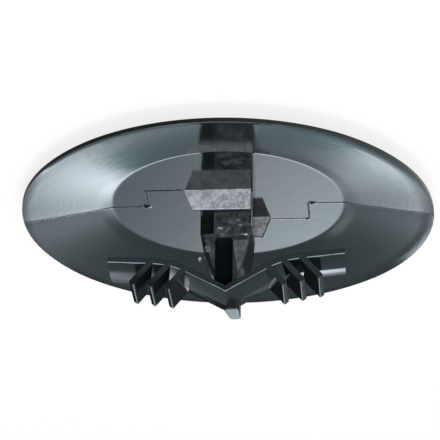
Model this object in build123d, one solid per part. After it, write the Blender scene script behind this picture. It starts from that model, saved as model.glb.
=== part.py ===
"""Bonnet clip: a dished head and a folded-back anchor stem, moulded as one piece.

Millimetres, +Z up along the stem. The origin is the centre of the head's flat outer face,
so the clip stands on its head. Across is X, the way the wings spread. Near is +Y.
Heights named below are measured up from the flat floor of the dish.
"""
import os
from math import cos, radians, sin, tan

from build123d import *

# Head: a thin dish with a flat middle and a shallow cone out to the rim
head_diameter = 50.0
flat_diameter = 28.2
head_wall = 1.1
rim_wall = 0.55
cone_rise = 1.86
rim_round = 0.35
rim_bevel = 0.08
crease_blend = 3.0
underside_blend = 12.0

# Block: the stop on the dish's floor, with a thin ear at two opposite corners
block_width = 6.0
block_depth = 8.4
block_height = 2.65
ear_reach = 5.1
ear_top_reach = 3.95
ear_wall = 0.65
block_round = 0.18

# Column: a straight neck, then two legs that close in an ogive towards the tip
column_width = 6.4
column_depth = 6.8
column_straight = 1.9
column_top_width = 1.8
column_sweep = 22.0
column_round = 0.12
column_bevel = 0.45

# Notches: one in the neck's near left corner, one opposite, both open to the block
notch_width = 1.75
notch_depth = 1.6
notch_height = 2.85
notch_round = 0.2

# Cores: a pocket into each face of the column, either side of a thin web
core_width = 2.15
core_offset = 0.22
core_lift = 3.35
core_web = 0.9
core_round = 0.4

# Wings: two arms that fold back from the tip towards the head
wing_span = 28.4
wing_width = 5.9
wing_wall = 0.7
wing_bend_at = 6.8
wing_bend = 9.0
root_fall = 29.7
end_fall = 4.6
tip_height = 13.5
near_draft = 0.55
far_draft = 0.35
wing_round = 0.25

# Fins: the grip teeth on each wing, leaning out towards the wing's end
fin_count = 3
fin_pitch = 2.15
fin_first_reach = 6.85
fin_first_drop = 1.56
fin_drop = 0.38
fin_lean = 40.0
fin_length = 4.2
fin_wall = 0.72
fin_round = 0.16

# Nub: the round-cornered guide on the tip, on its far half; its left side slants inwards
nub_width = 1.95
nub_far_width = 1.25
nub_depth = 3.1
nub_offset = 0.5
nub_near_edge = 0.15
nub_height = 0.5
nub_root = 1.3
nub_round = 0.45
nub_edge_round = 0.12

head_radius = head_diameter / 2
flat_radius = flat_diameter / 2
wing_reach = wing_span / 2
inner_inset = near_draft + wing_wall
column_top = tip_height - inner_inset - wing_wall / 4


def level(height):
    """Turn a height above the dish's floor into a Z value."""
    return head_wall + height


def slab(outline, near, far):
    """Extrude an outline drawn in the XZ plane so that it fills y = far to y = near."""
    return extrude(Pos(0, near, 0) * outline, near - far, dir=(0, -1, 0))


def edges_across(solid, y):
    """The solid's edges that lie in one plane across Y."""
    return solid.edges().filter_by_position(Axis.Y, y - 1e-4, y + 1e-4)


def make_head():
    """Revolve the dish: flat middle, cone that thins outwards, soft crease, rounded rim."""
    rim_top = level(cone_rise)
    section = make_face(
        Polyline(
            (0, 0),
            (flat_radius, 0),
            (head_radius, rim_top - rim_wall),
            (head_radius, rim_top),
            (flat_radius, level(0)),
            (0, level(0)),
            close=True,
        )
    )
    section = fillet(corner_at(section, head_radius, rim_top), rim_round)
    section = chamfer(corner_at(section, head_radius, rim_top - rim_wall), rim_bevel)
    section = fillet(corner_at(section, flat_radius, level(0)), crease_blend)
    section = fillet(corner_at(section, flat_radius, 0), underside_blend)
    return revolve(Plane.XZ * section, Axis.Z)


def corner_at(section, across, height):
    """The section's corner at a place."""
    return section.vertices().sort_by_distance((across, height))[0]


def make_ear(foot):
    """The left ear: a thin plate, flush with the block's near face, that narrows upwards."""
    outline = make_face(
        Polyline(
            (0, foot),
            (-ear_reach, foot),
            (-ear_reach, level(0)),
            (-ear_top_reach, level(block_height)),
            (0, level(block_height)),
            close=True,
        )
    )
    return slab(Plane.XZ * outline, block_depth / 2, block_depth / 2 - ear_wall)


def make_block():
    """The stop block: a box, with an ear on its near left and its far right corner."""
    foot = head_wall / 2
    box = Pos(0, 0, foot) * Box(
        block_width,
        block_depth,
        level(block_height) - foot,
        align=(Align.CENTER, Align.CENTER, Align.MIN),
    )
    ear = make_ear(foot)
    block = box + ear + ear.rotate(Axis.Z, 180)
    return fillet(block.edges().group_by(Axis.Z)[-1], block_round)


def column_outline():
    """The column from the near side: straight to its shoulder, then an ogive."""
    half, top_half = column_width / 2, column_top_width / 2
    shoulder, top = level(block_height + column_straight), level(column_top)
    return make_face(
        Line((-half, level(0)), (half, level(0)))
        + Line((half, level(0)), (half, shoulder))
        + RadiusArc((half, shoulder), (top_half, top), -column_sweep)
        + Line((top_half, top), (-top_half, top))
        + RadiusArc((-top_half, top), (-half, shoulder), -column_sweep)
        + Line((-half, shoulder), (-half, level(0)))
    )


def flank_edges(column, side, left):
    """The long edges of the column in its face at y = side, on the left or on the right."""
    edges = edges_across(column, side)
    return [edge for edge in edges if (edge.center().X < 0) == left and not is_level(edge)]


def is_level(edge):
    """True for an edge that runs straight across X."""
    return edge.bounding_box().size.Z < 1e-4


def make_column():
    """The column: two opposite corners bevelled, the others rounded, cored and notched."""
    side = column_depth / 2
    column = slab(Plane.XZ * column_outline(), side, -side)
    column = chamfer(flank_edges(column, side, True), column_bevel)
    column = chamfer(flank_edges(column, -side, False), column_bevel)
    column = fillet(flank_edges(column, side, False), column_round)
    column = fillet(flank_edges(column, -side, True), column_round)
    pockets = make_core() + make_notch()
    return column - pockets - pockets.rotate(Axis.Z, 180)


def make_core():
    """The near core: a straight pocket, round at its foot, that stops at the web."""
    foot = block_height + core_lift
    height = tip_height - foot
    outline = Pos(-core_offset, level(foot) + height / 2) * Rectangle(core_width, height)
    outline = fillet(outline.vertices().sort_by(Axis.Y)[:2], core_round)
    return slab(Plane.XZ * outline, column_depth, core_web / 2)


def make_notch():
    """The near left notch: it takes the neck's corner away between block and leg."""
    side = column_depth / 2
    foot, top = level(0), level(block_height + notch_height)
    centre_x = notch_width - column_width
    outline = Pos(centre_x, (foot + top) / 2) * Rectangle(column_width, top - foot)
    outline = fillet(outline.vertices().sort_by(Axis.Y)[2:], notch_round)
    return slab(Plane.XZ * outline, column_depth, side - notch_depth)


def wing_corner(inset):
    """Where the wing's two straight stretches would meet, inset below its crest line."""
    a, b = radians(root_fall), radians(end_fall)
    scale = inset / (1 + cos(a - b))
    across = wing_bend_at - scale * (sin(a) + sin(b))
    height = tip_height - wing_bend_at * tan(a) - scale * (cos(a) + cos(b))
    return across, level(height)


def wing_line(inset):
    """One line of the wing's profile, from the middle plane out to the wing's end."""
    across, height = wing_corner(inset)
    start = (0, height + across * tan(radians(root_fall)))
    end = (wing_reach, height - (wing_reach - across) * tan(radians(end_fall)))
    return FilletPolyline(start, (across, height), end, radius=wing_bend + inset)


def wing_section(y, draft):
    """The right wing's section at y, its outer face lowered from the crest by a draft."""
    outer, inner = wing_line(draft), wing_line(inner_inset)
    root = Line(inner @ 0, outer @ 0)
    end = Line(outer @ 1, inner @ 1)
    return Pos(0, y, 0) * (Plane.XZ * make_face(outer + end + inner + root))


def make_arm():
    """The right wing without its fins: a crest along its middle, drafted to both sides."""
    side = wing_width / 2
    near = wing_section(side, near_draft)
    crest = wing_section(0, 0)
    far = wing_section(-side, far_draft)
    arm = loft([near, crest], ruled=True) + loft([crest, far], ruled=True)
    rims = edges_across(arm, side) + edges_across(arm, -side)
    return fillet([edge for edge in rims if is_outer(edge)], wing_round)


def is_outer(edge):
    """True for an edge along the wing's outer face: above the mid-wall line, and no end edge."""
    middle = wing_line(near_draft + wing_wall / 2)
    probe = edge @ 0.5
    return edge.length > 2 * wing_wall and probe.Z > height_on(middle, probe.X)


def height_on(line, across):
    """The height of a wing line at a distance across."""
    cut = Line((across, 0), (across, level(tip_height) + 1))
    return line.intersect(cut)[0].Y


def make_fin(index):
    """One fin of the right wing: a leaning blade with a rounded crest."""
    across = fin_first_reach + index * fin_pitch
    height = level(tip_height - fin_first_drop - index * fin_drop)
    blade = Pos(0, -fin_length / 2) * Rectangle(fin_wall, fin_length)
    blade = fillet(blade.vertices().sort_by(Axis.Y)[-2:], fin_round)
    return Pos(across, height) * Rot(0, 0, -fin_lean) * blade


def make_fins():
    """The row of fins, trimmed so that they stop inside the wing's wall."""
    middle = wing_line(near_draft + wing_wall / 2)
    below = make_face(
        middle
        + Line(middle @ 1, (wing_reach, 0))
        + Line((wing_reach, 0), (0, 0))
        + Line((0, 0), middle @ 0)
    )
    row = Sketch() + [make_fin(index) for index in range(fin_count)]
    return slab(Plane.XZ * (row - below), wing_width / 2, -wing_width / 2)


def make_nub():
    """The guide nub: a low block that narrows away from the near side, with soft corners."""
    left, right = nub_offset - nub_width / 2, nub_offset + nub_width / 2
    near, far = nub_near_edge, nub_near_edge - nub_depth
    outline = make_face(
        Polyline(
            (left, near),
            (right, near),
            (right, far),
            (right - nub_far_width, far),
            close=True,
        )
    )
    outline = fillet(outline.vertices(), nub_round)
    foot = level(tip_height - nub_root)
    nub = extrude(Pos(0, 0, foot) * outline, nub_root + nub_height, dir=(0, 0, 1))
    return fillet(nub.edges().group_by(Axis.Z)[-1], nub_edge_round)


def make_clip():
    """Fuse everything that is moulded together."""
    wing = make_arm() + make_fins()
    stem = make_block() + make_column() + wing + wing.mirror(Plane.YZ) + make_nub()
    return make_head() + stem


if __name__ == "__main__":
    os.makedirs("parts", exist_ok=True)
    export_step(make_clip(), "parts/bonnet_clip.step")
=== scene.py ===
"""Looks of the bonnet clip: a black gloss moulding that stands on its head on a white floor.

Metres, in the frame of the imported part: +Z up along the stem, X the way the wings spread,
near is +Y. The camera looks from the near side and is upside down, as in the photograph.
"""

from math import copysign, cos, exp, hypot, pi, radians, sin, tan

import bmesh
import bpy
from mathutils import Matrix, Vector, noise


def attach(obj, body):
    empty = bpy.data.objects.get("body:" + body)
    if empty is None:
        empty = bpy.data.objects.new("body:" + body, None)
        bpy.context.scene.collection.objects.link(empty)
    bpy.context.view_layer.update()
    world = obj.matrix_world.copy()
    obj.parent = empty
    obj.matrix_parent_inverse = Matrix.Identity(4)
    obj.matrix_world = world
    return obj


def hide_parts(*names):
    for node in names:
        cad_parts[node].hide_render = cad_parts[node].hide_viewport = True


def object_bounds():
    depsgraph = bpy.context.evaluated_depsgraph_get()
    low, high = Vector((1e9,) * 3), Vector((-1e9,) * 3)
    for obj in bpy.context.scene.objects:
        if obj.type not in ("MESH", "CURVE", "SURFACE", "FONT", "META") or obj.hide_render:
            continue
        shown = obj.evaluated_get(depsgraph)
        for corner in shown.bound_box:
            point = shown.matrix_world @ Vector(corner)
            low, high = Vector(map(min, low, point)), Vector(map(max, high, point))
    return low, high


MM = 0.001

# Head: the dish, with a sharper rim than the part's and the slight bends of a real moulding
FLAT_RADIUS = 14.1 * MM
HEAD_WALL = 1.1 * MM
RIM_WALL = 0.55 * MM
CONE_RISE = 1.83 * MM
RIM_ROUND = 0.02 * MM
RIM_FOOT_ROUND = 0.06 * MM
RIM_CURL = 0.06 * MM
RIM_CURL_WIDTH = 0.8 * MM
RIGHT_CURL = 0.16 * MM
RIGHT_CURL_WIDTH = 1.7 * MM
RIGHT_FROM, RIGHT_FADE = 0.5, 0.35
LEFT_FALL = 0.035 * MM
LEFT_FALL_WIDTH = 0.9 * MM
LEFT_FROM, LEFT_FADE = 0.75, 0.2
FLAT_SAG = 0.045 * MM
CREASE_BLEND = 3.0 * MM
CREASE_FADE = 2.0 * MM
CONE_CROWN = 0.055 * MM
UNDERSIDE_BLEND = 12.0 * MM

# Steps: how finely the dish is divided, from its middle outwards, back below, and round it
FLAT_STEPS, CREASE_STEPS, CONE_STEPS = 24, 6, 40
RIM_STEPS, RIM_FOOT_STEPS = 10, 4
UNDER_CONE_STEPS, UNDER_BLEND_STEPS, UNDER_FLAT_STEPS = 6, 8, 4
ROUND_STEPS = 360

# Parting line: a raised seam across the dish, with a step on either side of the block
SEAM_STEP_AT = 9.75 * MM
SEAM_STEP = 4.2 * MM
SEAM_END = 5.1 * MM
SEAM_WIDTH = 0.2 * MM
SEAM_CONE_WIDTH = 0.12 * MM
SEAM_SLOPE = 0.48
SEAM_UNEVEN = 0.5
SEAM_WANDER = 0.03 * MM
SEAM_LEAN = 0.03
SEAM_LEAN_FADE = 4.0 * MM
SEAM_SEGMENT = 0.25 * MM
SEAM_GRAIN = 0.7 * MM

# Stem: the part's own mesh above the dish's floor; the cut keeps clear of the cone
MERGE_WITHIN = 0.0005 * MM
COPLANAR = radians(0.3)
STEM_CUT = 0.01 * MM
STEM_SINK = 0.3 * MM
FOOT_REACH = 6.0 * MM
FOOT_HEIGHT = 3.0 * MM
STEM_REACH_X = 14.5 * MM
STEM_REACH_Y = 4.5 * MM
BLOCK_HEIGHT = 2.65 * MM
COLUMN_SIDE = 3.4 * MM
# Core: the slot between the legs, whose side faces carry painted shade
CORE_REACH = 1.35 * MM
CORE_FOOT = 7.3 * MM
CORE_TOP = 11.5 * MM
CORE_MARGIN = 0.1 * MM
WING_SIDE = 2.95 * MM
WING_SIDE_WITHIN = 0.002 * MM
WING_EDGE = 0.12 * MM
WING_EDGE_FROM = 0.3 * MM
WING_EDGE_TURN = radians(35)
FIN_FROM = (5.5 * MM, 11.8 * MM)
FIN_GROWTH = 0.3 * MM
FIN_LEAN = radians(40)

# Wings: moulded a little askew, so that the left one stands further from the head, and with
# their far halves leaning down to it
WING_SKEW = 0.018
FAR_LEAN = 0.035
LEAN_FROM = 2.0 * MM
SKEW_FROM = 4.0 * MM
SKEW_FULL = 8.5 * MM

# Flow marks: a rough patch on the neck's near face, between the notch and the right corner, whose
# paler grained tones are partly painted sheen
MARKS_X = (-1.35 * MM, 2.95 * MM)
MARKS_Z = (3.8 * MM, 7.0 * MM)
MARKS_SIZE = 1.0 * MM
MARKS_RISE = 0.24 * MM
MARKS_LEVEL = 0.45
MARKS_SMOOTHNESS, MARKS_LACUNARITY, MARKS_LAYERS = 1.0, 2.2, 2
MARKS_FADE = 0.12
MARKS_SINK = 0.05 * MM
MARKS_DEPTH = 4 * MARKS_SINK
MARKS_STEP = 0.06 * MM

# Gate mark: the round vestige on the left leg, whose pale tone is a painted highlight
GATE_AT = (-2.1 * MM, 8.5 * MM)
GATE_RADIUS = 0.5 * MM
GATE_TOP_RADIUS = 0.8 * GATE_RADIUS
GATE_RISE = 0.08 * MM

# Leg pad: a grained patch on the right leg's near face, in the outline of its lit part and
# painted pale as painted light, as (across, up)
LEG_PAD = (
    (0.86 * MM, 7.9 * MM),
    (1.02 * MM, 7.5 * MM),
    (2.76 * MM, 7.5 * MM),
    (2.42 * MM, 9.0 * MM),
    (1.95 * MM, 10.5 * MM),
    (1.47 * MM, 11.7 * MM),
)
PAD_RISE = 0.03 * MM
PAD_DEPTH = 5 * PAD_RISE
PAD_WITHIN = 0.1 * PAD_RISE

# Pips: small pointed dots on the dish, as (across, near, radius, rise)
PIPS = (
    (-10.0 * MM, 0.05 * MM, 0.5 * MM, 0.26 * MM),
    (10.2 * MM, 0.05 * MM, 0.42 * MM, 0.22 * MM),
    (9.5 * MM, -4.3 * MM, 0.25 * MM, 0.13 * MM),
    (-4.6 * MM, -14.85 * MM, 0.36 * MM, 0.34 * MM),
)

# Camera: where the photograph was taken from, and how its frame lies on the clip
CAMERA_AZIMUTH = radians(4.08)
CAMERA_ELEVATION = radians(26.34)
CAMERA_ROLL = radians(-0.55)
CAMERA_DISTANCE = 313.0 * MM
CAMERA_LENS = 210.0
FRAME_RIGHT = -0.99 * MM
FRAME_DOWN = 1.83 * MM

# Lamps of the shell that the gloss mirrors: two soft ones, low behind the clip
SHELL_RADIUS = 0.5
LAMP_AZIMUTH = radians(1.8)
LAMP_SPREAD_LEFT, LAMP_SPREAD_RIGHT = radians(6.5), radians(2.8)
LAMP_ELEVATION = radians(18.5)
LAMP_SPREAD_DOWN = radians(3.4)
LAMP_SPREAD_UP = radians(6.4)
LAMP_PEAK = 5.6
LAMP_TINT = (0.87, 1.0, 1.07, 1)
LAMP_SIDE_AT = radians(-4.5)
LAMP_SIDE_SOFT = radians(0.5)
LAMP_SIDE_LOSS = 0.3
FAR_LAMP_AZIMUTH = radians(-16.5)
FAR_LAMP_SPREAD_LEFT, FAR_LAMP_SPREAD_RIGHT = radians(7), radians(2.1)
FAR_LAMP_FOOT, FAR_LAMP_CLEAR = radians(15), radians(20)
FAR_LAMP_LOW, FAR_LAMP_HIGH = radians(26), radians(34)
FAR_LAMP_FADE_DOWN, FAR_LAMP_FADE_UP = radians(8), radians(5)
FAR_LAMP_LOW_SHARE = 0.4
FAR_LAMP_PEAK = 4.4

# Rest of the shell: a dim tone, a shade over the first lamp's lower part, and a pale ceiling
# over the near side
SHELL_LEVEL = 0.43
SHELL_TINT = (0.76, 1.0, 1.14, 1)
SHADE_LEFT, SHADE_RIGHT = radians(-4.3), radians(-1.6)
SHADE_SIDE_SOFT = radians(0.4)
SHADE_EDGE = radians(15.4)
SHADE_EDGE_FROM, SHADE_EDGE_FULL = radians(-0.4), radians(0.6)
SHADE_SLOPE = 0.6
SHADE_LOSS = 0.95
SHADE_GLOW = 0.2
SHADE_TINT = (0.2, 1.0, 1.05, 1)
CEILING_FROM, CEILING_FULL = radians(29), radians(37)
CEILING_SIDE_FADE = 0.1
CEILING_LEVEL = 8.0
HORIZON_FROM, HORIZON_FULL = radians(1), radians(8)
HORIZON_LEVEL = 0.15

# Floor: white to the camera, and dimmed to the left and to the back where the gloss mirrors it,
# as painted shade
FLOOR_REACH = 3.0
FLOOR_PAINT = (0.8, 0.8, 0.8, 1)
FLOOR_GLOW_SHARE = 0.8
FLOOR_SEEN = 1.02
FLOOR_LEFT, FLOOR_RIGHT = -12 * MM, 28 * MM
FLOOR_DIM, FLOOR_BRIGHT = 0.15, 0.9
FLOOR_FAR, FLOOR_NEAR = -50 * MM, -5 * MM
FLOOR_FAR_SHARE = 0.1
WORLD_LEVEL = 0.6

# Lamps that light the matt faces from the near side, as (azimuth, elevation, size, radiance)
KEY_LAMP = (radians(170), radians(68), 0.22, 12.0)
FRONT_LAMP = (radians(160), radians(30), 0.3, 6.0)
LAMP_DISTANCE = 0.6

# Gloss: streaks round the cone, broad waves, and the turn up to which faces shade as one
GLOSS_COLOUR = (0.005, 0.007, 0.007, 1)
GLOSS_ROUGHNESS = 0.09
STREAK_DEPTH = 0.007 * MM
STREAK_RINGS = 400.0
STREAK_SCALE, STREAK_DETAIL = 9.0, 4.0
WAVE_SHARE = 0.8
WAVE_SCALE, WAVE_DETAIL = 420.0, 2.0
SMOOTH_LIMIT = cos(radians(30))

# Grained finishes, some with painted light or shade in their tones: a fine grain in larger
# patches, in the tones between a dark and a pale one
GRAIN_SCALE, GRAIN_DETAIL = 2600.0, 2.0
PATCH_SCALE, PATCH_DETAIL = 900.0, 3.0
GRAIN_SHARE = 0.45
TONE_FROM, TONE_TO = 0.38, 0.62
GRAIN_DEPTH = 0.02 * MM
# Frosted block and ears: a spark-eroded grain whose tones, far paler than the black plastic, are
# partly painted sheen
FROST_SHEEN_DARK = (0.2, 0.19, 0.22, 1)
FROST_SHEEN_PALE = (0.42, 0.41, 0.44, 1)
FROST_SHEEN_ROUGHNESS = 0.6
# Leg pad and gate mark: pale tones that are painted light, for the lit part of the leg and a
# highlight
LIT_PATCH_DARK = (0.03, 0.031, 0.034, 1)
LIT_PATCH_PALE = (0.085, 0.09, 0.095, 1)
LIT_PATCH_ROUGHNESS = 0.45
# Core between the legs: near-black, dull tones with little shine, as painted shade
CORE_SHADE_DARK = (0.001, 0.0015, 0.0015, 1)
CORE_SHADE_PALE = (0.003, 0.004, 0.004, 1)
CORE_SHADE_ROUGHNESS = 0.7
CORE_SHADE_SHINE = 0.1
# Flow marks: grained tones, partly painted sheen for the mottled reflections on the neck
MARKS_SHEEN_DARK = (0.004, 0.005, 0.005, 1)
MARKS_SHEEN_PALE = (0.045, 0.047, 0.052, 1)
MARKS_SHEEN_ROUGHNESS = 0.28

# Finishes and painted tones, by their number on the clip, and how squarely a face must look to
# one side for them
GLOSS, FROSTED_SHEEN, LIT_PATCH, CORE_SHADE, MARKS_SHEEN = range(5)
FACING = 0.85
CORE_FACING = 0.9

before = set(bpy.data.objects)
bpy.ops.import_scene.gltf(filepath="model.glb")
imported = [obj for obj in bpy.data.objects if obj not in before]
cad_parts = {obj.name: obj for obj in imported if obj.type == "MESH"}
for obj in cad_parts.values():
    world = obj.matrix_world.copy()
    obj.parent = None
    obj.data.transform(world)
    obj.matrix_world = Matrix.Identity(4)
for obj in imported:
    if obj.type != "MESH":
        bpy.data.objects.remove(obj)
cad_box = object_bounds()
HEAD_RADIUS = min(-cad_box[0].x, -cad_box[0].y, cad_box[1].x, cad_box[1].y)


# Helpers


def link(obj):
    """Put an object into the scene."""
    bpy.context.scene.collection.objects.link(obj)
    return obj


def finish_mesh(form, name):
    """Turn a form into an object, and free the form."""
    mesh = bpy.data.meshes.new(name)
    form.to_mesh(mesh)
    form.free()
    return link(bpy.data.objects.new(name, mesh))


def points_in(parts):
    """The points among the parts that an operation gives back."""
    return [part for part in parts if isinstance(part, bmesh.types.BMVert)]


def ease(value):
    """A smooth step from 0 to 1."""
    t = min(max(value, 0), 1)
    return t * t * (3 - 2 * t)


class Tree:
    """A node tree with short calls to add nodes and join them."""

    def __init__(self, owner):
        owner.use_nodes = True
        self.nodes = owner.node_tree.nodes
        self.links = owner.node_tree.links
        self.nodes.clear()

    def add(self, kind, inputs=(), **settings):
        """Add a node, set its properties, and fill or join its inputs by name or number."""
        node = self.nodes.new("ShaderNode" + kind)
        for name, value in settings.items():
            setattr(node, name, value)
        for name, value in dict(inputs).items():
            self.put(node.inputs[name], value)
        return node

    def put(self, socket, value):
        """Give a socket a number or a colour, or join another socket to it."""
        if isinstance(value, bpy.types.NodeSocket):
            self.links.new(value, socket)
        else:
            socket.default_value = value

    def math(self, operation, a, b=0.0, c=0.0):
        """The result of a maths node."""
        return self.add("Math", {0: a, 1: b, 2: c}, operation=operation).outputs[0]

    def bell(self, value, centre, below, above):
        """A bell of height 1 over a value, with its own spread on either side."""
        off = self.math("SUBTRACT", value, centre)
        high = self.math("GREATER_THAN", off, 0.0)
        spread = self.math("MULTIPLY_ADD", high, above - below, below)
        share = self.math("DIVIDE", off, spread)
        square = self.math("MULTIPLY", share, share)
        return self.math("EXPONENT", self.math("MULTIPLY", square, -0.5))

    def noise(self, place, scale, detail):
        """Fractal noise over a place."""
        sockets = {"Vector": place, "Scale": scale, "Detail": detail}
        return self.add("TexNoise", sockets).outputs[0]

    def ramp(self, value, start, end, low, high):
        """A smooth step from low to high as a value goes from start to end."""
        sockets = {0: value, 1: start, 2: end, 3: low, 4: high}
        return self.add("MapRange", sockets, interpolation_type="SMOOTHSTEP").outputs[0]


# Camera and light


def make_camera():
    """The photograph's camera: upside down, so that the stem points down the picture."""
    az, el = CAMERA_AZIMUTH, CAMERA_ELEVATION
    towards = Vector((sin(az) * cos(el), cos(az) * cos(el), sin(el)))
    level_right = Vector((cos(az), -sin(az), 0))
    level_down = Vector((-sin(az) * sin(el), -cos(az) * sin(el), cos(el)))
    right = level_right * cos(CAMERA_ROLL) + level_down * sin(CAMERA_ROLL)
    down = level_down * cos(CAMERA_ROLL) - level_right * sin(CAMERA_ROLL)
    centre = Vector((0, 0, HEAD_WALL))
    place = centre + towards * CAMERA_DISTANCE
    back = (place - centre - right * FRAME_RIGHT - down * FRAME_DOWN).normalized()
    right = (-down).cross(back).normalized()
    up = back.cross(right)
    camera = link(bpy.data.objects.new("camera", bpy.data.cameras.new("camera")))
    turn = Matrix((right, up, back)).transposed().to_4x4()
    camera.matrix_world = Matrix.Translation(place) @ turn
    camera.data.lens = CAMERA_LENS
    camera.data.clip_start = 0.01
    camera.data.clip_end = 20
    bpy.context.scene.camera = camera


def make_world():
    """An even white world: it lights at a plain level, and shows as white."""
    world = bpy.data.worlds.new("world")
    bpy.context.scene.world = world
    tree = Tree(world)
    path = tree.add("LightPath").outputs
    seen = tree.math("MAXIMUM", path["Is Camera Ray"], path["Is Glossy Ray"])
    seen = tree.math("MAXIMUM", seen, path["Is Transmission Ray"])
    level = tree.math("MULTIPLY_ADD", seen, 1 - WORLD_LEVEL, WORLD_LEVEL)
    light = tree.add("Background", {"Color": (1, 1, 1, 1), "Strength": level})
    tree.add("OutputWorld", {"Surface": light.outputs[0]})


def make_floor():
    """A plain white floor that keeps a faint shadow of the clip."""
    mesh = bpy.data.meshes.new("floor")
    quarters = ((-1, -1), (1, -1), (1, 1), (-1, 1))
    corners = [(x * FLOOR_REACH, y * FLOOR_REACH, 0) for x, y in quarters]
    mesh.from_pydata(corners, [], [(0, 1, 2, 3)])
    floor = link(bpy.data.objects.new("floor", mesh))
    material = bpy.data.materials.new("floor")
    tree = Tree(material)
    matt = tree.add("BsdfDiffuse", {"Color": FLOOR_PAINT}).outputs[0]
    path = tree.add("LightPath").outputs
    seen, reflected = path["Is Camera Ray"], path["Is Glossy Ray"]
    place = tree.add("TexCoord").outputs["Object"]
    across, near, _ = tree.add("SeparateXYZ", {0: place}).outputs
    mirrored = tree.ramp(across, FLOOR_LEFT, FLOOR_RIGHT, FLOOR_DIM, FLOOR_BRIGHT)
    close = tree.ramp(near, FLOOR_FAR, FLOOR_NEAR, FLOOR_FAR_SHARE, 1.0)
    dimming = tree.math("MULTIPLY_ADD", mirrored, close, -FLOOR_SEEN)
    level = tree.math("MULTIPLY_ADD", dimming, reflected, FLOOR_SEEN)
    glow = tree.add("Emission", {"Color": (1, 1, 1, 1), "Strength": level}).outputs[0]
    share = tree.math("MULTIPLY_ADD", seen, FLOOR_GLOW_SHARE, reflected)
    mix = tree.add("MixShader", {0: share, 1: matt, 2: glow}).outputs[0]
    tree.add("OutputMaterial", {"Surface": mix})
    mesh.materials.append(material)


def glow_only(obj):
    """Show an object in reflections alone: it neither shades nor lights anything else."""
    obj.visible_camera = False
    obj.visible_diffuse = False
    obj.visible_shadow = False


def make_shell():
    """The shell that reflections see: dim, with two low lamps behind and a ceiling in front."""
    form = bmesh.new()
    bmesh.ops.create_uvsphere(form, u_segments=64, v_segments=32, radius=SHELL_RADIUS)
    shell = finish_mesh(form, "light_shell")
    material = bpy.data.materials.new("light_shell")
    tree = Tree(material)
    place = tree.add("TexCoord").outputs["Object"]
    unit = tree.add("VectorMath", {0: place}, operation="NORMALIZE").outputs[0]
    x, y, z = tree.add("SeparateXYZ", {0: unit}).outputs
    across = tree.math("ARCTAN2", x, tree.math("MULTIPLY", y, -1.0))
    up = tree.math("ARCSINE", z)
    lamp = make_low_lamp(tree, across, up)
    shade = make_shade(tree, across, up)
    lit = tree.math("MULTIPLY", lamp, tree.math("MULTIPLY_ADD", shade, -SHADE_LOSS, 1.0))
    tinted = tree.math("MULTIPLY", tree.math("MULTIPLY", lamp, shade), SHADE_GLOW)
    second = make_far_lamp(tree, across, up)
    base = make_dome(tree, y, up)
    glow = tree.add("Emission", {"Color": LAMP_TINT, "Strength": lit}).outputs[0]
    for tint, strength in ((SHADE_TINT, tinted), (SHELL_TINT, base), (LAMP_TINT, second)):
        more = tree.add("Emission", {"Color": tint, "Strength": strength}).outputs[0]
        glow = tree.add("AddShader", {0: glow, 1: more}).outputs[0]
    tree.add("OutputMaterial", {"Surface": glow})
    shell.data.materials.append(material)
    glow_only(shell)


def make_low_lamp(tree, across, up):
    """The first lamp's strength: a soft spot, weaker beyond an upright edge on its left."""
    spot = tree.math(
        "MULTIPLY",
        tree.bell(across, LAMP_AZIMUTH, LAMP_SPREAD_LEFT, LAMP_SPREAD_RIGHT),
        tree.bell(up, LAMP_ELEVATION, LAMP_SPREAD_DOWN, LAMP_SPREAD_UP),
    )
    start, end = LAMP_SIDE_AT - LAMP_SIDE_SOFT, LAMP_SIDE_AT + LAMP_SIDE_SOFT
    side = tree.ramp(across, start, end, 1 - LAMP_SIDE_LOSS, 1.0)
    return tree.math("MULTIPLY", tree.math("MULTIPLY", spot, side), LAMP_PEAK)


def make_far_lamp(tree, across, up):
    """The second lamp's strength: a soft column that fades downwards and upwards."""
    rise_from, fall_to = FAR_LAMP_LOW - FAR_LAMP_FADE_DOWN, FAR_LAMP_HIGH + FAR_LAMP_FADE_UP
    rise = tree.ramp(up, rise_from, FAR_LAMP_LOW, FAR_LAMP_LOW_SHARE, 1.0)
    foot = tree.ramp(up, FAR_LAMP_FOOT, FAR_LAMP_CLEAR, 0.0, FAR_LAMP_PEAK)
    fall = tree.ramp(up, FAR_LAMP_HIGH, fall_to, 1.0, 0.0)
    height = tree.math("MULTIPLY", tree.math("MULTIPLY", rise, foot), fall)
    width = tree.bell(across, FAR_LAMP_AZIMUTH, FAR_LAMP_SPREAD_LEFT, FAR_LAMP_SPREAD_RIGHT)
    return tree.math("MULTIPLY", width, height)


def make_dome(tree, near, up):
    """The shell's own strength: dim, darker at the horizon, with the ceiling added."""
    overhead = tree.ramp(up, CEILING_FROM, CEILING_FULL, 0.0, CEILING_LEVEL)
    side = tree.ramp(near, -CEILING_SIDE_FADE, CEILING_SIDE_FADE, 0.0, 1.0)
    dim = tree.ramp(up, HORIZON_FROM, HORIZON_FULL, HORIZON_LEVEL * SHELL_LEVEL, SHELL_LEVEL)
    return tree.math("MULTIPLY_ADD", overhead, side, dim)


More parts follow.
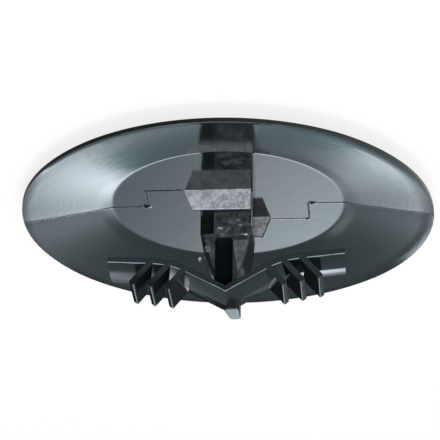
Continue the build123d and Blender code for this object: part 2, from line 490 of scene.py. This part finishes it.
def make_shade(tree, across, up):
    """1 inside the shade over the first lamp, whose upper edge rises to one side."""
    slant = tree.math("SUBTRACT", across, (SHADE_LEFT + SHADE_RIGHT) / 2)
    edge = tree.math("MULTIPLY_ADD", slant, SHADE_SLOPE, SHADE_EDGE)
    depth = tree.math("SUBTRACT", edge, up)
    below = tree.ramp(depth, SHADE_EDGE_FROM, SHADE_EDGE_FULL, 0.0, 1.0)
    soft = SHADE_SIDE_SOFT
    left = tree.ramp(across, SHADE_LEFT - soft, SHADE_LEFT + soft, 0.0, 1.0)
    right = tree.ramp(across, SHADE_RIGHT - soft, SHADE_RIGHT + soft, 1.0, 0.0)
    return tree.math("MULTIPLY", below, tree.math("MULTIPLY", left, right))


def make_lamp(name, azimuth, elevation, size, radiance):
    """A square soft lamp that faces the clip; its strength is given as it would be seen."""
    lamp = bpy.data.lights.new(name, "AREA")
    lamp.size = size
    lamp.energy = radiance * size**2 * pi
    obj = link(bpy.data.objects.new(name, lamp))
    towards = Vector(
        (sin(azimuth) * cos(elevation), -cos(azimuth) * cos(elevation), sin(elevation))
    )
    obj.location = towards * LAMP_DISTANCE
    obj.rotation_mode = "QUATERNION"
    obj.rotation_quaternion = towards.to_track_quat("Z", "Y")


# Materials


def make_plastic():
    """Black gloss plastic with faint polishing streaks round the cone and broad waves."""
    material = bpy.data.materials.new("black_plastic")
    tree = Tree(material)
    place = tree.add("TexCoord").outputs["Object"]
    x, y, _ = tree.add("SeparateXYZ", {0: place}).outputs
    radius = tree.math("SQRT", tree.math("MULTIPLY_ADD", x, x, tree.math("MULTIPLY", y, y)))
    angle = tree.math("ARCTAN2", x, y)
    polar = tree.add("CombineXYZ", {0: angle, 1: tree.math("MULTIPLY", radius, STREAK_RINGS)})
    on_cone = tree.ramp(radius, FLAT_RADIUS, FLAT_RADIUS + CREASE_FADE, 0.0, 1.0)
    rings = tree.noise(polar.outputs[0], STREAK_SCALE, STREAK_DETAIL)
    streak = tree.math("MULTIPLY", rings, on_cone)
    wave = tree.noise(place, WAVE_SCALE, WAVE_DETAIL)
    height = tree.math("MULTIPLY_ADD", wave, WAVE_SHARE, streak)
    bump = tree.add("Bump", {"Height": height, "Distance": STREAK_DEPTH, "Strength": 1.0})
    skin = tree.add(
        "BsdfPrincipled",
        {
            "Base Color": GLOSS_COLOUR,
            "Roughness": GLOSS_ROUGHNESS,
            "Normal": bump.outputs[0],
        },
    )
    tree.add("OutputMaterial", {"Surface": skin.outputs[0]})
    return material


def make_grained(name, dark, pale, roughness, shine=0.5):
    """The same plastic where it is not glossy: finely grained, in tones from dark to pale, which
    also carry painted light and shade.
    """
    material = bpy.data.materials.new(name)
    tree = Tree(material)
    place = tree.add("TexCoord").outputs["Object"]
    grain = tree.noise(place, GRAIN_SCALE, GRAIN_DETAIL)
    patch = tree.noise(place, PATCH_SCALE, PATCH_DETAIL)
    patches = tree.math("MULTIPLY", patch, 1 - GRAIN_SHARE)
    blend = tree.math("MULTIPLY_ADD", grain, GRAIN_SHARE, patches)
    share = tree.ramp(blend, TONE_FROM, TONE_TO, 0.0, 1.0)
    tone = tree.add("Mix", {0: share, 6: dark, 7: pale}, data_type="RGBA").outputs[2]
    bump = tree.add("Bump", {"Height": grain, "Distance": GRAIN_DEPTH, "Strength": 1.0})
    skin = tree.add(
        "BsdfPrincipled",
        {
            "Base Color": tone,
            "Roughness": roughness,
            "Specular IOR Level": shine,
            "Normal": bump.outputs[0],
        },
    )
    tree.add("OutputMaterial", {"Surface": skin.outputs[0]})
    return material


def finish_of(face):
    """A face's finish: flow marks with painted sheen, core with painted shade, frosted block with
    painted sheen, leg pad and gate with painted light, or gloss.
    """
    x, y, z = face.center
    turned = abs(face.normal.x), abs(face.normal.y)
    # Flow marks on the neck: grained tones, partly painted sheen
    if y > COLUMN_SIDE - MARKS_SINK / 2 and x > MARKS_X[0] and MARKS_Z[0] < z < MARKS_Z[1]:
        return MARKS_SHEEN
    # Core between the legs: painted shade on its side faces, where shade falls in the slot
    if abs(x) < CORE_REACH and z > CORE_FOOT and abs(y) < COLUMN_SIDE - CORE_MARGIN:
        return CORE_SHADE if z < CORE_TOP and max(turned) > CORE_FACING else GLOSS
    if turned[1] < FACING or z < HEAD_WALL or hypot(x, y) > STEM_REACH_X:
        return GLOSS
    # Block and ears: the spark-eroded grain, with a painted sheen in its pale tones
    if z < HEAD_WALL + BLOCK_HEIGHT:
        return FROSTED_SHEEN
    # Leg pad and gate mark: pale tones as painted light
    on_pad = abs(y - COLUMN_SIDE - PAD_RISE) < PAD_WITHIN and z > MARKS_Z[1]
    in_gate = y > COLUMN_SIDE and hypot(x - GATE_AT[0], z - GATE_AT[1]) < GATE_RADIUS
    return LIT_PATCH if on_pad or in_gate else GLOSS


# Head


def blend_points(before, corner, after, radius, count):
    """The points of a round corner of that radius between two straight stretches."""
    a = (Vector(before) - Vector(corner)).normalized()
    b = (Vector(after) - Vector(corner)).normalized()
    half = a.angle(b) / 2
    reach = radius / tan(half)
    centre = Vector(corner) + (a + b).normalized() * (radius / sin(half))
    first, last = Vector(corner) + a * reach - centre, Vector(corner) + b * reach - centre
    turn = first.angle_signed(last)
    return [centre + Matrix.Rotation(-turn * k / count, 2) @ first for k in range(count + 1)]


def line_points(start, end, count):
    """Evenly spaced points between two points, both ends left out."""
    return [Vector(start).lerp(Vector(end), k / count) for k in range(1, count)]


def head_profile():
    """The dish's half section, from the middle of its floor out over the rim and back below."""
    rim_top = HEAD_WALL + CONE_RISE
    centre_top, crease = (0, HEAD_WALL), (FLAT_RADIUS, HEAD_WALL)
    rim, rim_foot = (HEAD_RADIUS, rim_top), (HEAD_RADIUS, rim_top - RIM_WALL)
    under, centre_under = (FLAT_RADIUS, 0), (0, 0)
    inner = blend_points(centre_top, crease, rim, CREASE_BLEND, CREASE_STEPS)
    outer = blend_points(crease, rim, rim_foot, RIM_ROUND, RIM_STEPS)
    foot = blend_points(rim, rim_foot, under, RIM_FOOT_ROUND, RIM_FOOT_STEPS)
    below = blend_points(rim_foot, under, centre_under, UNDERSIDE_BLEND, UNDER_BLEND_STEPS)
    points = line_points(centre_top, inner[0], FLAT_STEPS) + inner
    points += line_points(inner[-1], outer[0], CONE_STEPS) + outer + foot
    points += line_points(foot[-1], below[0], UNDER_CONE_STEPS) + below
    return points + line_points(below[-1], centre_under, UNDER_FLAT_STEPS)


def cone_share(radius):
    """0 on the dish's flat middle, 1 well out on its cone."""
    return ease((radius - FLAT_RADIUS) / CREASE_FADE)


def cone_rise(radius):
    """The height of the straight cone above the dish's floor."""
    return max(radius - FLAT_RADIUS, 0) * CONE_RISE / (HEAD_RADIUS - FLAT_RADIUS)


def cone_crown(radius):
    """How much the cone bulges above a straight one: it is steeper at its foot."""
    t = min(max((radius - FLAT_RADIUS) / (HEAD_RADIUS - FLAT_RADIUS), 0), 1)
    return CONE_CROWN * 4 * t * (1 - t)


def rim_curl(x, y):
    """How much the dish's rim curls up: more on the right, while its left end falls away."""
    radius = hypot(x, y)
    side = x / max(radius, MM)
    right = ease((side - RIGHT_FROM) / RIGHT_FADE)
    left = ease((-side - LEFT_FROM) / LEFT_FADE)
    curl = RIM_CURL * bend(radius, RIM_CURL_WIDTH) * (1 - right) * (1 - left)
    curl += RIGHT_CURL * bend(radius, RIGHT_CURL_WIDTH) * right
    return curl - LEFT_FALL * bend(radius, LEFT_FALL_WIDTH) * left


def bend(radius, width):
    """0 inside the rim's bent strip, then a rise to 1 at the rim."""
    return max(1 - (HEAD_RADIUS - radius) / width, 0) ** 2


def flat_sag(radius):
    """How far the dish's flat middle sinks below its edge."""
    return FLAT_SAG * max(1 - (radius / FLAT_RADIUS) ** 2, 0)


def warp(x, y):
    """How much the dish's upper face rises above a plain flat and cone."""
    radius = hypot(x, y)
    return seam_lean(x, y) + cone_crown(radius) + rim_curl(x, y) - flat_sag(radius)


def seam_lean(x, y):
    """How much the cone rises away from the parting line, where the two mould halves meet."""
    away = abs(y)
    return SEAM_LEAN * away * exp(-away / SEAM_LEAN_FADE) * cone_share(hypot(x, y))


def make_head():
    """The dish as one closed mesh: revolved, with its upper face warped and its rim curled."""
    top_count = FLAT_STEPS + CREASE_STEPS + CONE_STEPS
    form = bmesh.new()
    hub_top = form.verts.new((0, 0, HEAD_WALL + warp(0, 0)))
    hub_under = form.verts.new((0, 0, 0))
    rings = []
    for index, (radius, height) in enumerate(head_profile()):
        lift = warp if index < top_count else rim_curl
        rings.append(make_ring(form, radius, height, lift))
    for k in range(ROUND_STEPS):
        n = (k + 1) % ROUND_STEPS
        form.faces.new((hub_top, rings[0][k], rings[0][n]))
        form.faces.new((hub_under, rings[-1][n], rings[-1][k]))
        for inner, outer in zip(rings, rings[1:]):
            form.faces.new((inner[k], outer[k], outer[n], inner[n]))
    bmesh.ops.recalc_face_normals(form, faces=form.faces)
    return finish_mesh(form, "head")


def make_ring(form, radius, height, lift):
    """One ring of the dish's points, each raised by what the lift function says for its place."""
    ring = []
    for k in range(ROUND_STEPS):
        turn = 2 * pi * k / ROUND_STEPS
        x, y = radius * cos(turn), radius * sin(turn)
        ring.append(form.verts.new((x, y, height + lift(x, y))))
    return ring


def make_stem():
    """The stem: the part's own mesh above the dish's floor, with its foot sunk into the dish."""
    form = bmesh.new()
    form.from_mesh(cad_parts["bonnet_clip"].data)
    bmesh.ops.remove_doubles(form, verts=form.verts, dist=MERGE_WITHIN)
    stem = finish_mesh(form, "stem")
    combine(stem, make_keep(), "INTERSECT")
    form = bmesh.new()
    form.from_mesh(stem.data)
    bmesh.ops.dissolve_limit(form, angle_limit=COPLANAR, verts=form.verts, edges=form.edges)
    round_wing_sides(form)
    for vert in form.verts:
        move_stem_point(vert.co)
    form.to_mesh(stem.data)
    form.free()
    return stem


def move_stem_point(point):
    """Sink a point of the stem's foot, lengthen a fin's tip, and set the wings askew."""
    if point.z < HEAD_WALL + 2 * STEM_CUT:
        point.z = HEAD_WALL - STEM_SINK
    if abs(point.x) > FIN_FROM[0] and point.z > FIN_FROM[1]:
        point.x += copysign(FIN_GROWTH * sin(FIN_LEAN), point.x)
        point.z += FIN_GROWTH * cos(FIN_LEAN)
    lean = FAR_LEAN * ease(abs(point.x) / LEAN_FROM - 1)
    fall = WING_SKEW * point.x + lean * max(-point.y, 0)
    point.z = min(point.z - fall * skew_share(point.z), cad_box[1].z)


def round_wing_sides(form):
    """Take the sharp edges off the near side of the wings and fins, apart from short ones."""
    edges = [edge for edge in form.edges if all(on_wing_side(vert.co) for vert in edge.verts)]
    edges = [edge for edge in edges if edge.calc_length() > WING_EDGE_FROM]
    bmesh.ops.bevel(
        form,
        geom=[edge for edge in edges if edge.calc_face_angle() > WING_EDGE_TURN],
        offset=WING_EDGE,
        offset_type="OFFSET",
        segments=3,
        profile=0.5,
        affect="EDGES",
    )


def on_wing_side(point):
    """True for a point in the plane of the wings' near side."""
    return abs(point.y - WING_SIDE) < WING_SIDE_WITHIN


def skew_share(height):
    """0 at the block, 1 at the wings."""
    return ease((height - SKEW_FROM) / (SKEW_FULL - SKEW_FROM))


def make_keep():
    """The space that the stem is cut out with: narrow at the foot, wide at the wings."""
    low, high = HEAD_WALL + STEM_CUT, cad_box[1].z + MM
    corners = ((FOOT_REACH, low), (FOOT_REACH, FOOT_HEIGHT), (STEM_REACH_X, FOOT_HEIGHT))
    right = corners + ((STEM_REACH_X, high),)
    left = tuple((-x, z) for x, z in reversed(right))
    form = bmesh.new()
    ring = [form.verts.new((x, -STEM_REACH_Y, z)) for x, z in right + left]
    front = form.faces.new(ring)
    sides = bmesh.ops.extrude_face_region(form, geom=[front])["geom"]
    bmesh.ops.translate(form, vec=(0, 2 * STEM_REACH_Y, 0), verts=points_in(sides))
    bmesh.ops.recalc_face_normals(form, faces=form.faces)
    return finish_mesh(form, "keep")


def combine(obj, other, operation):
    """Cut, join or intersect an object with another, which is used up."""
    tool = obj.modifiers.new("combine", "BOOLEAN")
    tool.operation = operation
    tool.solver = "MANIFOLD"
    tool.object = other
    bpy.context.view_layer.objects.active = obj
    bpy.ops.object.modifier_apply(modifier=tool.name)
    bpy.data.objects.remove(other)


def top_height(x, y):
    """The height of the dish's upper face at a place."""
    return HEAD_WALL + cone_rise(hypot(x, y)) + warp(x, y)


def make_seam_run(start, end):
    """One straight run of the seam: a low, uneven ridge whose lower half is sunk."""
    form = bmesh.new()
    along = Vector(end) - Vector(start)
    side = Vector((-along.y, along.x)).normalized()
    count = max(int(along.length / SEAM_SEGMENT), 1)
    rings = []
    for k in range(count + 1):
        x, y = Vector(start) + along * k / count
        rough = noise.noise(Vector((x, y, 0)) / SEAM_GRAIN)
        if 0 < k < count:
            x, y = Vector((x, y)) + side * SEAM_WANDER * rough
        z = top_height(x, y)
        share = cone_share(hypot(x, y))
        half = (SEAM_WIDTH * (1 - share) + SEAM_CONE_WIDTH * share) / 2
        peak = half * SEAM_SLOPE * (1 + SEAM_UNEVEN * rough)
        a, b = side * half
        corners = ((a, b, 0), (0, 0, peak), (-a, -b, 0), (0, 0, -SEAM_WIDTH))
        rings.append([form.verts.new((x + u, y + v, z + w)) for u, v, w in corners])
    for first, second in zip(rings, rings[1:]):
        for k in range(4):
            n = (k + 1) % 4
            form.faces.new((first[k], first[n], second[n], second[k]))
    form.faces.new(rings[0])
    form.faces.new(rings[-1])
    bmesh.ops.recalc_face_normals(form, faces=form.faces)
    return finish_mesh(form, "seam")


def make_seam():
    """The parting line: from each side of the rim to the block, with a step on the way."""
    rim = HEAD_RADIUS - RIM_ROUND
    runs = []
    for hand in (-1, 1):
        route = (
            (hand * rim, 0),
            (hand * SEAM_STEP_AT, 0),
            (hand * SEAM_STEP_AT, -hand * SEAM_STEP),
            (hand * SEAM_END, -hand * SEAM_STEP),
        )
        runs += [make_seam_run(a, b) for a, b in zip(route, route[1:])]
    return runs


def make_pip(across, near, radius, rise):
    """A low pointed cone, half sunk into the dish."""
    form = bmesh.new()
    sizes = {"radius1": 2 * radius, "radius2": 0.01 * radius, "depth": 2 * rise}
    bmesh.ops.create_cone(form, cap_ends=True, segments=24, **sizes)
    place = (across, near, top_height(across, near))
    bmesh.ops.translate(form, vec=place, verts=form.verts)
    return finish_mesh(form, "pip")


def make_marks():
    """The flow marks: a height field that stands out of the neck's near face."""
    across, up = MARKS_X[1] - MARKS_X[0], MARKS_Z[1] - MARKS_Z[0]
    columns, rows = int(across / MARKS_STEP), int(up / MARKS_STEP)
    form = bmesh.new()
    grid = []
    for row in range(rows + 1):
        line = []
        for column in range(columns + 1):
            u, v = column / columns, row / rows
            x, z = MARKS_X[0] + u * across, MARKS_Z[0] + v * up
            y = COLUMN_SIDE - MARKS_SINK + mark_height(x, z) * edge_fade(u) * edge_fade(v)
            line.append(form.verts.new((x, y, z)))
        grid.append(line)
    for low, high in zip(grid, grid[1:]):
        for k in range(columns):
            form.faces.new((low[k], low[k + 1], high[k + 1], high[k]))
    rim = [edge for edge in form.edges if edge.is_boundary]
    back = bmesh.ops.extrude_edge_only(form, edges=rim)["geom"]
    for vert in points_in(back):
        vert.co.y = COLUMN_SIDE - MARKS_DEPTH
    loop = [part for part in back if isinstance(part, bmesh.types.BMEdge)]
    bmesh.ops.edgeloop_fill(form, edges=loop)
    bmesh.ops.recalc_face_normals(form, faces=form.faces)
    return finish_mesh(form, "marks")


def mark_height(x, z):
    """The height of the flow marks at a place: lumps with flat tops and flat ground between."""
    place = Vector((x, 0, z)) / MARKS_SIZE
    lump = noise.fractal(place, MARKS_SMOOTHNESS, MARKS_LACUNARITY, MARKS_LAYERS)
    return MARKS_RISE * min(max(MARKS_LEVEL + lump, 0), 1)


def edge_fade(share):
    """0 at either end of a stretch, 1 in its middle."""
    return ease(min(share, 1 - share) / MARKS_FADE)


def make_gate():
    """The gate mark: a low round disc on the left leg's near face."""
    form = bmesh.new()
    bmesh.ops.create_cone(
        form,
        cap_ends=True,
        segments=32,
        radius1=GATE_RADIUS,
        radius2=GATE_TOP_RADIUS,
        depth=2 * GATE_RISE,
    )
    turn = Matrix.Rotation(radians(-90), 4, "X")
    place = Matrix.Translation((GATE_AT[0], COLUMN_SIDE, GATE_AT[1]))
    bmesh.ops.transform(form, matrix=place @ turn, verts=form.verts)
    return finish_mesh(form, "gate")


def make_leg_pad():
    """The patch on the right leg: a thin plate with the patch's outline."""
    form = bmesh.new()
    ring = [form.verts.new((x, COLUMN_SIDE + PAD_RISE, z)) for x, z in LEG_PAD]
    front = form.faces.new(ring)
    sides = bmesh.ops.extrude_face_region(form, geom=[front])["geom"]
    bmesh.ops.translate(form, vec=(0, -PAD_DEPTH, 0), verts=points_in(sides))
    bmesh.ops.recalc_face_normals(form, faces=form.faces)
    return finish_mesh(form, "leg_pad")


def make_clip():
    """The whole clip as one mesh."""
    clip = make_head()
    clip.name = "clip"
    combine(clip, make_stem(), "UNION")
    extras = make_seam() + [make_pip(*pip) for pip in PIPS]
    extras += [make_marks(), make_gate(), make_leg_pad()]
    for extra in extras:
        combine(clip, extra, "UNION")
    paint(clip)
    smooth(clip.data)
    return clip


def smooth(mesh):
    """Give each face corner the mean normal of its vertex's faces that turn little from it."""
    around = [[] for _ in mesh.vertices]
    for face in mesh.polygons:
        for vert in face.vertices:
            around[vert].append((face.normal.copy(), face.area))
    normals = []
    for face in mesh.polygons:
        for vert in face.vertices:
            total = face.normal * face.area
            for normal, area in around[vert]:
                if normal.dot(face.normal) > SMOOTH_LIMIT:
                    total += normal * area
            normals.append(total.normalized() if total.length else face.normal)
    mesh.polygons.foreach_set("use_smooth", [True] * len(mesh.polygons))
    mesh.normals_split_custom_set(normals)


def paint(clip):
    """Give each face its finish or painted tone; the materials stand in the order of the
    finishes' numbers.
    """
    gloss = make_plastic()
    frosted = make_grained("frosted_painted_sheen", FROST_SHEEN_DARK, FROST_SHEEN_PALE, FROST_SHEEN_ROUGHNESS)
    lit_patch = make_grained("lit_patch_painted_light", LIT_PATCH_DARK, LIT_PATCH_PALE, LIT_PATCH_ROUGHNESS)
    matt = make_grained("core_painted_shade", CORE_SHADE_DARK, CORE_SHADE_PALE, CORE_SHADE_ROUGHNESS, CORE_SHADE_SHINE)
    marks_sheen = make_grained("marks_painted_sheen", MARKS_SHEEN_DARK, MARKS_SHEEN_PALE, MARKS_SHEEN_ROUGHNESS)
    clip.data.materials.clear()
    for material in (gloss, frosted, lit_patch, matt, marks_sheen):
        clip.data.materials.append(material)
    for face in clip.data.polygons:
        face.material_index = finish_of(face)


bpy.context.scene.view_settings.view_transform = "Standard"
make_camera()
make_world()
make_floor()
make_shell()
make_lamp("key_lamp", *KEY_LAMP)
make_lamp("front_lamp", *FRONT_LAMP)
clip = make_clip()
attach(clip, "root")
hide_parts("bonnet_clip")
